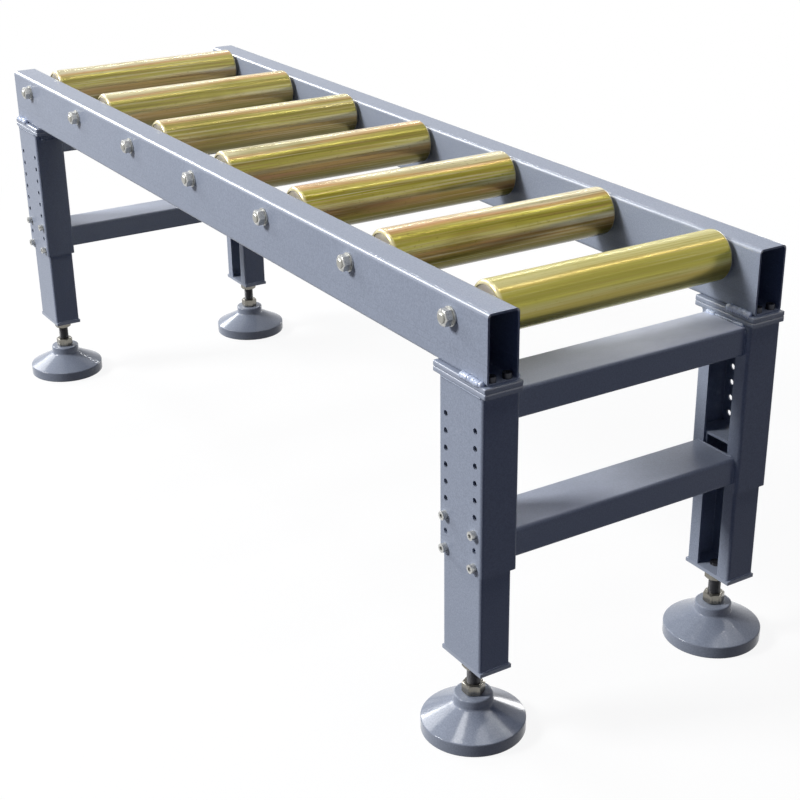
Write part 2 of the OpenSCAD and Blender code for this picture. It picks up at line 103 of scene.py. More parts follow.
class ConveyorColours(bpy.types.PropertyGroup):
    """Colours of the finishes"""
    paint: colour_setting("Paint", "Slate blue paint of frame, legs and feet", "969EAE")
    # Paint dust, made lighter, is also the painted light on the crossbars' tops
    paint_dust: colour_setting("Paint dust", "Pale specks and rubbed spots in the paint", "BFC3D0")
    # Gold, rose, green and pale also paint the rollers' light: darkened low down as painted shade, pale near
    # the top and middle as painted highlights
    gold: colour_setting("Yellow zinc", "Main tone of the passivated rollers", "C9C05A")
    gold_rose: colour_setting("Rose streaks", "Pink-brown streaks along the rollers", "CC9C6C")
    gold_green: colour_setting("Green streaks", "Olive streaks along the rollers", "8E841E")
    gold_pale_and_highlight: colour_setting("Pale streaks", "Rubbed, pale streaks along the rollers", "EFE6C0")
    rim_pale: colour_setting("Roller rims", "Worn, pale rims at the rollers' ends", "E0D6B4")
    pale_zinc: colour_setting("Pale zinc", "Pressed ends of the rollers", "E1D7C8")
    zinc: colour_setting("Zinc", "Nuts, washers and leg screws", "CCCCC8")
    # Dark steel of the studs; its darkness also stands in for painted shade under the legs
    stud_steel: colour_setting("Stud", "Thread and ball of the levelling studs", "343438")
    nickel: colour_setting("Hexagon", "Hexagons and nuts of the levelling studs", "85827A")
    black_oxide: colour_setting("Black oxide", "Flange screws", "1C1E26")
    axle_steel: colour_setting("Axle steel", "Axles, sleeves and bearing rings", "B4B3AC")
    backdrop: colour_setting("Backdrop", "Floor and surroundings of the studio", "FFFFFF")
    ambient: colour_setting("Ambient", "Light from the room's dark side", "6080E0")


class ConveyorSizes(bpy.types.PropertyGroup):
    """Sizes of the welds, edges and threads"""
    rail_weld: length_setting("Rail weld", "Radius of the bead between rail and plate", 0.0055)
    plate_weld: length_setting("Plate weld", "Radius of the blobs between leg plate and crossbar", 0.0034)
    leg_fillet: length_setting("Leg fillet", "Radius of the fillet under the leg plate's inner end", 0.0070)
    leg_weld: length_setting("Leg weld", "Radius of the bead between leg and plate", 0.0014)
    bar_weld: length_setting("Crossbar weld", "Radius of the bead around the crossbar ends", 0.0020)
    base_weld: length_setting("Base weld", "Radius of the bead around the base plates", 0.0016)
    ripple: length_setting("Ripple", "Length of one ripple of a weld bead", 0.0036)
    rail_corner: length_setting("Rail corner", "Outer corner radius of the rails", 0.0060)
    profile_corner: length_setting("Profile corner", "Outer corner radius of legs and crossbars", 0.0045)
    plate_edge: length_setting("Plate edge", "Rounding of the plates' edges", 0.0022)
    stud_radius: length_setting("Stud radius", "Outer radius of the levelling stud's thread", 0.010)
    thread_pitch: length_setting("Thread pitch", "Pitch of the levelling stud's thread", 0.0025)
    thread_depth: length_setting("Thread depth", "Depth of the levelling stud's thread", 0.0009)
    thread_steps: IntProperty(name="Thread steps", description="Steps in one turn of the thread",
                              default=20, min=8, max=48)


class ConveyorStudio(bpy.types.PropertyGroup):
    """Camera and lamps. A lamp of level 1 shows a facing surface in its written colour"""
    azimuth: angle_setting("Azimuth", "Direction that the camera looks in, 0 along +Y", 57.24)
    elevation: angle_setting("Elevation", "How far the camera looks down", 24.70)
    roll: angle_setting("Roll", "How far the camera leans to its left", -0.25)
    place: FloatVectorProperty(name="Place", description="Where the camera stands", subtype="TRANSLATION",
                               unit="LENGTH", size=3, default=(2.3727, -1.3023, 1.3482))
    focal_share: FloatProperty(name="Focal share", description="Focal length over the picture's width",
                               default=1550 / 800, min=0)
    key: level_setting("Key light", "Large lamp from the left", 0.92)
    rim: level_setting("Rim light", "Low lamp from the rear left, for the rails' upper edges", 0.46)
    streaks: level_setting("Streak lights", "Each small lamp that draws a streak on the feet", 0.10)
    front: level_setting("Front light", "High lamp from the front, for the crossbars' tops", 0.08)
    strips: level_setting("Strip lights", "Each thin lamp that draws a line along the rollers", 0.065)
    low_strips: level_setting("Low strip lights", "The same, for the lamps that light the front faces", 0.006)
    ambient: level_setting("Ambient", "The room's own light", 0.07)
    shift: FloatVectorProperty(name="Shift", description="Shift of the picture on the sensor", size=2,
                               default=(-0.03925, 0.0355))


def settings(group):
    return getattr(bpy.context.scene, f"conveyor_{group}")


# Materials

class Finish:
    """A material with a principled shader, and short ways to add nodes to it"""

    def __init__(self, name, metallic=0.0, roughness=0.5):
        self.material = bpy.data.materials.new(name)
        self.material.use_nodes = True
        self.tree = self.material.node_tree
        self.shader = self.tree.nodes["Principled BSDF"]
        self.shader.inputs["Metallic"].default_value = metallic
        self.shader.inputs["Roughness"].default_value = roughness
        self.place = self.add("ShaderNodeTexCoord").outputs["Object"]

    def add(self, kind, **values):
        node = self.tree.nodes.new(kind)
        for key, value in values.items():
            setattr(node, key, value)
        return node

    def join(self, socket, value):
        """Links an output, or sets a plain value."""
        if isinstance(value, bpy.types.NodeSocket):
            self.tree.links.new(value, socket)
        else:
            socket.default_value = value

    def set(self, name, value):
        self.join(self.shader.inputs[name], value)

    def stretched(self, scale, shift=(0, 0, 0)):
        """Object coordinates, scaled along each axis."""
        node = self.add("ShaderNodeMapping")
        self.join(node.inputs["Vector"], self.place)
        node.inputs["Scale"].default_value = scale
        node.inputs["Location"].default_value = shift
        return node.outputs["Vector"]

    def noise(self, place, scale=1.0, detail=3.0, roughness=0.5):
        node = self.add("ShaderNodeTexNoise")
        self.join(node.inputs["Vector"], place)
        node.inputs["Scale"].default_value = scale
        node.inputs["Detail"].default_value = detail
        node.inputs["Roughness"].default_value = roughness
        return node.outputs["Fac"]

    def math(self, operation, *values):
        node = self.add("ShaderNodeMath", operation=operation)
        for socket, value in zip(node.inputs, values):
            self.join(socket, value)
        return node.outputs["Value"]

    def spread(self, value, low, high, start=0.0, end=1.0):
        """A value mapped from low..high to start..end and kept inside it."""
        node = self.add("ShaderNodeMapRange")
        self.join(node.inputs["Value"], value)
        for name, number in zip(("From Min", "From Max", "To Min", "To Max"), (low, high, start, end)):
            node.inputs[name].default_value = number
        return node.outputs["Result"]

    def mix(self, share, first, second):
        node = self.add("ShaderNodeMix", data_type="RGBA")
        self.join(node.inputs[0], share)
        self.join(node.inputs[6], opaque(first))
        self.join(node.inputs[7], opaque(second))
        return node.outputs[2]

    def ramp(self, value, stops):
        """Colours along a value, each at its place in 0..1."""
        node = self.add("ShaderNodeValToRGB")
        self.join(node.inputs["Fac"], value)
        elements = node.color_ramp.elements
        for _ in stops[2:]:
            elements.new(0.5)
        for element, (place, colour) in zip(elements, stops):
            element.position, element.color = place, opaque(colour)
        return node.outputs["Color"]

    def axis(self, name):
        node = self.add("ShaderNodeSeparateXYZ")
        self.join(node.inputs["Vector"], self.place)
        return node.outputs[name]

    def bump(self, height, distance, strength, under=None):
        node = self.add("ShaderNodeBump")
        self.join(node.inputs["Height"], height)
        node.inputs["Distance"].default_value = distance
        node.inputs["Strength"].default_value = strength
        if under is not None:
            self.join(node.inputs["Normal"], under)
        return node.outputs["Normal"]


def opaque(value):
    """A plain colour with its alpha, or an output as it is."""
    return value if isinstance(value, bpy.types.NodeSocket) else (*value, 1.0)


def dressed(names, finish):
    """Gives CAD nodes a finish in their own slots."""
    for name in names:
        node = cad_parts[name]
        if not node.material_slots:
            raise RuntimeError(f"{name} has no material slot")
        for slot in node.material_slots:
            slot.material = finish.material


def shade(colour, share):
    """A colour made darker, or lighter where the share is over 1."""
    return tuple(min(1, channel * share) for channel in colour)


GRAIN, SPECKS, PEEL = 430, 420, 620  # fineness of the paint's grain, specks and orange peel, per metre
PLAIN_GLOSS, EDGE_GLOSS = 0.1, 1.0  # specular levels of the rails' faces and of their upper edges
PLATE_GLOSS = 0.3  # specular level of the flange plates' sides
LINE_SHARE, LINE_SHADE = 0.22, 0.55  # strength of a rolling line in the paint, and its tone over the paint's
DUST_LIGHT_FROM, DUST_LIGHT_TO = 0.5, 0.4  # where a crossbar's dust and painted light start and are full, over half its length
DUST_LIGHT_DEPTH, DUST_LIGHT_FADE = 0.0004, 0.0016  # how far below a crossbar's top its dust and painted light are full, and end


def paint_layers(finish, colour, dust, rough=0.17, gloss=0.2):
    """Sprayed paint: slow changes of tone, a fine orange peel and a few pale specks."""
    slow = finish.noise(finish.stretched((5, 9, 7)), detail=4)
    grain = finish.noise(finish.place, GRAIN, detail=3, roughness=0.7)
    tone = finish.mix(finish.spread(grain, 0.36, 0.64, end=0.8), shade(colour, 1.14), shade(colour, 0.84))
    tone = finish.mix(finish.spread(slow, 0.3, 0.7, end=0.25), tone, shade(colour, 0.86))
    scuff = finish.noise(finish.stretched((38, 55, 26)), detail=8, roughness=0.7)
    speck = finish.spread(finish.noise(finish.place, SPECKS, detail=2), 0.70, 0.76, end=0.6)
    tone = finish.mix(finish.math("MAXIMUM", finish.spread(scuff, 0.62, 0.80, end=0.35), speck), tone, dust)
    peel = finish.noise(finish.place, PEEL, detail=2)
    finish.set("Roughness", finish.spread(slow, 0.3, 0.7, rough, rough + 0.08))
    finish.shader.inputs["Specular IOR Level"].default_value = gloss
    return tone, finish.bump(peel, distance=0.00008, strength=0.3)


def painted(name, rough=0.17, gloss=0.12, light=1.0):
    """Plain slate blue paint. Its colour is scaled by light: above 1 as a painted highlight, below 1 as
    painted shade.
    """
    colours = settings("colours")
    finish = Finish(name)
    tone, normal = paint_layers(finish, shade(colours.paint, light), tuple(colours.paint_dust), rough, gloss)
    finish.set("Base Color", tone)
    finish.set("Normal", normal)
    return finish


def rail_paint(levels, width):
    """Paint with the faint rolling lines of the drawn section at the given heights, glossy on its edges."""
    colours, corner = settings("colours"), settings("sizes").rail_corner
    finish = Finish("rail_paint")
    tone, normal = paint_layers(finish, tuple(colours.paint), tuple(colours.paint_dust))
    height = finish.axis("Z")
    wobble = finish.spread(finish.noise(finish.stretched((2, 2, 0)), detail=1), 0, 1, -width, width)
    groove = 0.0
    for level in levels:
        off = finish.math("ABSOLUTE", finish.math("SUBTRACT", finish.math("ADD", height, wobble), level))
        groove = finish.math("MAXIMUM", groove, finish.spread(off, 0, width, 1, 0))
    tone = finish.mix(finish.math("MULTIPLY", groove, LINE_SHARE), tone, shade(colours.paint, LINE_SHADE))
    low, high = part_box("right_rail")
    across = finish.math("ABSOLUTE", finish.axis("Y"))
    inside = finish.spread(across, low.y + corner, low.y + corner * 0.6)
    outside = finish.spread(across, high.y - corner, high.y - corner * 0.6)
    upper = finish.spread(finish.axis("Z"), high.z - corner, high.z - corner * 0.7)
    edge = finish.math("MULTIPLY", finish.math("MAXIMUM", inside, outside), upper)
    finish.set("Specular IOR Level", finish.spread(edge, 0, 1, PLAIN_GLOSS, EDGE_GLOSS))
    finish.set("Base Color", tone)
    finish.set("Normal", finish.bump(groove, distance=-0.0003, strength=0.5, under=normal))
    return finish


def plate_paint(name, top, edge):
    """Paint of the flange plates, glossiest on their upper edges and top faces, at the given height."""
    finish = painted(name)
    height = finish.axis("Z")
    gloss = finish.spread(height, top - edge * 1.3, top - edge * 0.7, PLATE_GLOSS, EDGE_GLOSS)
    finish.set("Specular IOR Level", gloss)
    return finish


def bar_paint_with_painted_light(name, top, dust, clean_dim_end, dust_light_end):
    """Paint of the crossbars, with cloudy dust and painted light on their top faces, from a cleaner, dimmer
    end to a dustier, lighter end.
    """
    colours = settings("colours")
    finish = Finish(name)
    tone, normal = paint_layers(finish, tuple(colours.paint), tuple(colours.paint_dust), rough=0.3)
    cloud = finish.noise(finish.stretched((16, 7, 16), (2, 5, 1)), detail=5, roughness=0.6)
    upper = finish.spread(finish.axis("Z"), top - DUST_LIGHT_FADE, top - DUST_LIGHT_DEPTH)
    share = finish.math("MULTIPLY", finish.spread(cloud, 0.34, 0.66, 0.6, 1.0),
                        finish.spread(finish.axis("Y"), clean_dim_end, dust_light_end, dust * 0.25, dust))
    full_dust_light = finish.math("MULTIPLY", upper, share)
    # Dust and painted light: a lighter dust colour on the top face stands in for light falling on it
    finish.set("Base Color", finish.mix(full_dust_light, tone, shade(colours.paint_dust, 1.55)))
    finish.set("Normal", normal)
    return finish


LIGHT_BAND_WANDER = 0.08  # how far the roller's painted light and shade wander, over its diameter
FADE_REACH = 0.3  # half of the length over which the rear rollers turn paler
FADE_WIDTH = 0.01  # gap over which the front roller turns evenly gold
RIM_START, RIM_FULL = 0.006, 0.002  # where a roller's worn rim begins and is full, from its end


def yellow_zinc():
    """Yellow passivated zinc on a drawn tube: rose, green and pale streaks along the axle, and stripes over
    its height that are painted light, dark as painted shade low down and pale as painted highlights across
    the middle and near the top.
    """
    colours = settings("colours")
    finish = Finish("yellow_zinc", metallic=0.40)
    wide = finish.noise(finish.stretched((48, 1.4, 48)), detail=3)
    fine = finish.noise(finish.stretched((310, 3.0, 310), (3, 1, 7)), detail=4)
    hair = finish.noise(finish.stretched((900, 9, 900), (1, 4, 2)), detail=2)
    cloud = finish.noise(finish.stretched((14, 6, 14), (5, 2, 1)), detail=5)
    speck = finish.noise(finish.stretched((260, 120, 260)), detail=3)
    tube_low, tube_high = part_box(f"roller_tube_{ROLLERS[0]}")
    drift = finish.noise(finish.stretched((4.1, 1.3, 0), (0, 2, 3)), detail=2)
    wander = finish.spread(drift, 0.3, 0.7, -LIGHT_BAND_WANDER, LIGHT_BAND_WANDER)
    height = finish.math("ADD", finish.spread(finish.axis("Z"), tube_low.z, tube_high.z), wander)
    gold, rose = tuple(colours.gold), tuple(colours.gold_rose)
    green, pale = tuple(colours.gold_green), tuple(colours.gold_pale_and_highlight)
    # Painted light over the tube's height: dark green and rose as painted shade low down, pale as a painted
    # highlight across the middle, light rose and pale as painted highlights at the top
    painted_light_bands = finish.ramp(height, ((0.22, shade(green, 0.55)), (0.38, shade(rose, 0.6)),
                                 (0.50, shade(rose, 0.9)), (0.58, pale), (0.66, gold), (0.82, green),
                                 (0.90, gold), (0.95, shade(rose, 1.2)), (0.99, pale)))
    # A texture, the values where its colour begins and is full, the colour's largest share, and the colour
    # The last row darkens the tube towards its bottom, as painted shade
    layers = ((wide, 0.46, 0.62, 0.35, gold), (cloud, 0.52, 0.66, 0.5, green), (fine, 0.54, 0.70, 0.6, pale),
              (fine, 0.46, 0.32, 0.6, shade(green, 0.6)), (hair, 0.52, 0.70, 0.6, shade(rose, 0.7)),
              (speck, 0.62, 0.74, 0.4, shade(green, 0.5)), (height, 0.44, 0.12, 0.7, shade(green, 0.5)))
    tone = painted_light_bands
    for value, begin, full, most, tint in layers:
        tone = finish.mix(finish.spread(value, begin, full, end=most), tone, tint)
    last_low, last_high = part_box(f"roller_tube_{ROLLERS[-1]}")
    tone = finish.mix(finish.spread(finish.axis("X"), FADE_REACH, -FADE_REACH, end=0.1), tone, pale)
    even = finish.spread(finish.axis("X"), last_low.x - FADE_WIDTH, last_low.x, end=0.6)
    tone = finish.mix(even, tone, gold)
    across = finish.math("ABSOLUTE", finish.axis("Y"))
    rim = finish.spread(across, last_high.y - RIM_START, last_high.y - RIM_FULL, end=0.7)
    finish.set("Base Color", finish.mix(rim, tone, tuple(colours.rim_pale)))
    finish.set("Roughness", finish.spread(wide, 0.3, 0.7, 0.18, 0.27))
    finish.shader.inputs["Specular IOR Level"].default_value = 0.12
    turned = finish.noise(finish.stretched((40, 1900, 40)), detail=2)
    rings = finish.bump(turned, distance=0.00003, strength=0.2)
    finish.set("Normal", finish.bump(fine, distance=0.0003, strength=0.08, under=rings))
    return finish


def pale_zinc():
    """Pressed sheet ends, pale with dull patches."""
    colours = settings("colours")
    finish = Finish("pale_zinc", metallic=0.6)
    patch = finish.noise(finish.place, 70, detail=5)
    finish.set("Base Color", finish.mix(finish.spread(patch, 0.4, 0.65, end=0.6), tuple(colours.pale_zinc),
                                        tuple(colours.gold_pale_and_highlight)))
    finish.set("Roughness", finish.spread(patch, 0.3, 0.7, 0.28, 0.45))
    grain = finish.noise(finish.place, 500)
    finish.set("Normal", finish.bump(grain, distance=0.0001, strength=0.3))
    return finish


def bright_zinc(name, colour):
    """Plated fasteners: bright, with faint dull spots and fine scratches."""
    finish = Finish(name, metallic=0.6)
    spot = finish.noise(finish.place, 260, detail=4)
    scratch = finish.noise(finish.stretched((900, 900, 160)), detail=2)
    finish.set("Base Color", finish.mix(finish.spread(spot, 0.42, 0.68), colour, shade(colour, 0.7)))
    finish.set("Roughness", finish.spread(scratch, 0.3, 0.7, 0.25, 0.4))
    finish.set("Normal", finish.bump(scratch, distance=0.00001, strength=0.2))
    return finish


def turned_steel():
    """Bare turned steel with rings around the axle."""
    colours = settings("colours")
    finish = Finish("turned_steel", metallic=0.85, roughness=0.3)
    rings = finish.noise(finish.stretched((20, 1400, 20)), detail=2)
    finish.set("Base Color", finish.mix(finish.spread(rings, 0.3, 0.7), tuple(colours.axle_steel),
                                        shade(colours.axle_steel, 0.75)))
    finish.set("Normal", finish.bump(rings, distance=0.00006, strength=0.4))
    return finish


def black_oxide():
    colours = settings("colours")
    finish = Finish("black_oxide", metallic=0.4, roughness=0.42)
    spot = finish.noise(finish.place, 300, detail=3)
    finish.set("Base Color", finish.mix(spot, tuple(colours.black_oxide), shade(colours.black_oxide, 1.8)))
    finish.set("Normal", finish.bump(spot, distance=0.00008, strength=0.3))
    return finish


def nickel_plate():
    """Values of the plated hexagons and nuts, for a split finish."""
    return {"Base Color": tuple(settings("colours").nickel), "Metallic": 0.8, "Roughness": 0.22}


def split_finish(name, limit, below, above):
    """Two finishes on one piece: one below a height, one above it."""
    finish = Finish(name)
    share = finish.math("GREATER_THAN", finish.axis("Z"), limit)
    finish.set("Base Color", finish.mix(share, below["Base Color"], above["Base Color"]))
    for socket in ("Metallic", "Roughness"):
        finish.set(socket, finish.spread(share, 0, 1, below[socket], above[socket]))
    grain = finish.noise(finish.place, 480, detail=3)
    finish.set("Normal", finish.bump(grain, distance=0.00008, strength=0.3))
    return finish


# Operators that finish the CAD pieces

ROLLING_LINES = (0.20, 0.29)  # heights of the drawn rail's two faint lines, over its own height
LINE_WIDTH = 0.0006
NUT_SEAM = 0.0001  # how far below its base plate the nut's own finish begins
PAST_NUT, PAST_THREAD = 2, 1.2  # radii just outside the nut and the thread, over the stud's own


def ring_height(name, radius, pick):
    """Lowest (min) or highest (max) point of a node beyond a radius around the middle of its foot."""
    corner = name.split("_", 2)[2]
    low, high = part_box(f"foot_{corner}")
    middle = (low + high) / 2
    return pick(point.co.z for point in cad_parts[name].data.vertices
                if (point.co.xy - middle.xy).length > radius)


def rounded(name, width):
    """Rounds a piece's edges and keeps its flat faces flat."""
    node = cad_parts[name]
    merged = node.modifiers.new("joined", "WELD")
    merged.merge_threshold = width / 50
    edge = node.modifiers.new("edge", "BEVEL")
    edge.width = width
    edge.segments = 3
    edge.limit_method = "ANGLE"
    edge.use_clamp_overlap = False
    edge.harden_normals = False
    flat = node.modifiers.new("flat", "WEIGHTED_NORMAL")
    flat.mode = "FACE_AREA"
    flat.keep_sharp = False


class CONVEYOR_OT_paint(bpy.types.Operator):
    """Paint the rails, plates, legs, crossbars, base plates and feet"""
    bl_idname = "conveyor.paint"
    bl_label = "Paint"

    def execute(self, context):
        colours, sizes = settings("colours"), settings("sizes")
        rail_low, rail_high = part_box("left_rail")
        levels = [rail_low.z + (rail_high.z - rail_low.z) * share for share in ROLLING_LINES]
        dressed(["left_rail", "right_rail"], rail_paint(levels, LINE_WIDTH))
        plain = [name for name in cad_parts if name.startswith(("outer_leg", "inner_leg"))]
        dressed(plain, painted("paint"))
        plates = []
        for kind in ("rail_plates", "leg_plates"):
            pair = [f"{kind}_{end}" for end in ENDS]
            dressed(pair, plate_paint(f"{kind}_paint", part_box(pair[0])[1].z, sizes.plate_edge))
            plates += pair
        feet = [f"foot_{corner}" for corner in CORNERS]
        # The feet's paint is darkened (0.86) as painted shade
        dressed(feet, painted("foot_paint", rough=0.12, gloss=0.34, light=0.86))
        # Share of dust and painted light on each crossbar's top, and the side of its lighter end
        for level, dust, side in (("upper", 1.0, 1), ("lower", 0.35, -1)):
            bars = [f"{level}_crossbar_{end}" for end in ENDS]
            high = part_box(bars[0])[1]
            clean_dim_end, full_dust_light = -DUST_LIGHT_FROM * side * high.y, DUST_LIGHT_TO * side * high.y
            dressed(bars, bar_paint_with_painted_light(f"{level}_crossbar_paint_and_light", high.z, dust, clean_dim_end, full_dust_light))
        nut_top = ring_height(f"base_plate_{CORNERS[0]}", sizes.stud_radius * PAST_NUT, min) - NUT_SEAM
        coated = {"Base Color": tuple(colours.paint), "Metallic": 0.0, "Roughness": 0.32}
        bases = [f"base_plate_{corner}" for corner in CORNERS]
        dressed(bases, split_finish("base_plate_paint", nut_top, nickel_plate(), coated))
        for name in plates + feet:
            rounded(name, sizes.plate_edge)
        return {"FINISHED"}


class CONVEYOR_OT_plate_rollers(bpy.types.Operator):
    """Give the rollers their yellow passivated zinc and pale pressed ends"""
    bl_idname = "conveyor.plate_rollers"
    bl_label = "Plate rollers"

    def execute(self, context):
        dressed([f"roller_tube_{number}" for number in ROLLERS], yellow_zinc())
        dressed([f"roller_ends_{number}" for number in ROLLERS], pale_zinc())
        return {"FINISHED"}


class CONVEYOR_OT_plate_fasteners(bpy.types.Operator):
    """Finish the axles, nuts, washers and screws"""
    bl_idname = "conveyor.plate_fasteners"
    bl_label = "Plate fasteners"

    def execute(self, context):
        colours = settings("colours")
        dressed(["axle_nuts", "axle_washers"], bright_zinc("zinc", tuple(colours.zinc)))
        leg_screws = [f"leg_screws_{corner}" for corner in CORNERS]
        dressed(leg_screws, bright_zinc("screw_zinc", tuple(colours.zinc)))
        axles = [f"roller_axle_{number}" for number in ROLLERS]
        dressed([*axles, "axle_sleeves", "bearing_inner_rings"], turned_steel())
        dressed(["flange_screws"], black_oxide())
        return {"FINISHED"}


# New pieces

MERGE = 0.00001  # points nearer to each other than this are one point
CUT_SNAP = 0.000001  # how near a point counts as on a cut
# Where a bead's middle lies, over its radius
RAIL_BEAD_OUT, RAIL_BEAD_UP = 0.5, 0.25
LEG_BEAD_DOWN, FILLET_OUT = 0.6, 0.6
BAR_BEAD_IN, PLATE_BEAD_UP, BASE_BEAD_UP = 0.3, 0.4, 0.3
# Blobs between a leg plate and its crossbar: start and end over the bar's width, and thickness
PLATE_BLOBS = ((0.05, 0.25, 1.0), (0.25, 0.7, 0.45), (0.7, 0.95, 0.9))
# One pitch of the thread's profile: rise over the pitch, and dip over the thread's depth
THREAD_PROFILE = ((0, 1), (0.08, 1), (0.42, 0), (0.58, 0), (0.92, 1), (1, 1))
THREAD_SPARE = 2  # turns of thread below the lower cut
RIPPLE_STEPS = 4  # rings in one ripple of a weld bead
SIZE_CHANCE, SWAY_CHANCE = 0.1, 0.12  # random part of a ring's size and of its place, over the bead's radius
TIP_SIZE, NECK_SIZE = 0.4, 0.78  # size of a bead at its tips and between two ripples, over its largest


def finished_object(name, mesh, finish, body):
    """Makes a riding object of a bmesh whose vertices are in their place."""
    bmesh.ops.recalc_face_normals(mesh, faces=mesh.faces)
    data = bpy.data.meshes.new(name)
    mesh.to_mesh(data)
    mesh.free()
    piece = bpy.data.objects.new(name, data)
    bpy.context.scene.collection.objects.link(piece)
    data.materials.append(finish.material)
    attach(piece, body)
    return piece


def weld_bead(mesh, start, end, radius, ripple, seed):
    """Adds one bead from start to end: a ring extruded step by step, thicker in the middle of each ripple."""
    chance = random.Random(seed)
    along = end - start
    count = max(3, round(along.length / ripple * RIPPLE_STEPS))
    turn = Vector((0, 0, 1)).rotation_difference(along).to_matrix().to_4x4()
    bead = bmesh.new()
    ring = bmesh.ops.create_circle(bead, cap_ends=True, segments=8, radius=radius * TIP_SIZE,
                                   matrix=Matrix.Translation(start) @ turn)["verts"]
    edges = list(dict.fromkeys(edge for vertex in ring for edge in vertex.link_edges))
    size, centre = TIP_SIZE, start
    for number in range(1, count + 1):
        made = bmesh.ops.extrude_edge_only(bead, edges=edges)["geom"]
        ring = [item for item in made if isinstance(item, bmesh.types.BMVert)]
        edges = [item for item in made
                 if isinstance(item, bmesh.types.BMEdge) and all(vertex in ring for vertex in item.verts)]
        phase = (number % RIPPLE_STEPS) / RIPPLE_STEPS
        swell = NECK_SIZE + (1 - NECK_SIZE) * math.sin(math.pi * phase)
        swell += chance.uniform(-SIZE_CHANCE, SIZE_CHANCE)
        sway = Vector([chance.uniform(-SWAY_CHANCE, SWAY_CHANCE) * radius for _ in range(3)])
        if number == count:
            swell, sway = TIP_SIZE, Vector()
        middle = start + along * (number / count)
        bmesh.ops.translate(bead, verts=ring, vec=middle + sway - centre)
        centre = middle + sway
        bmesh.ops.scale(bead, verts=ring, vec=Vector((1, 1, 1)) * (swell / size),
                        space=Matrix.Translation(-centre))
        size = swell
    bmesh.ops.edgeloop_fill(bead, edges=edges)
    joined(mesh, bead)


def joined(mesh, part):
    """Adds one bmesh to another and frees it."""
    data = bpy.data.meshes.new("part")
    part.to_mesh(data)
    part.free()
    mesh.from_mesh(data)
    bpy.data.meshes.remove(data)


def smooth(piece):
    for polygon in piece.data.polygons:
        polygon.use_smooth = True


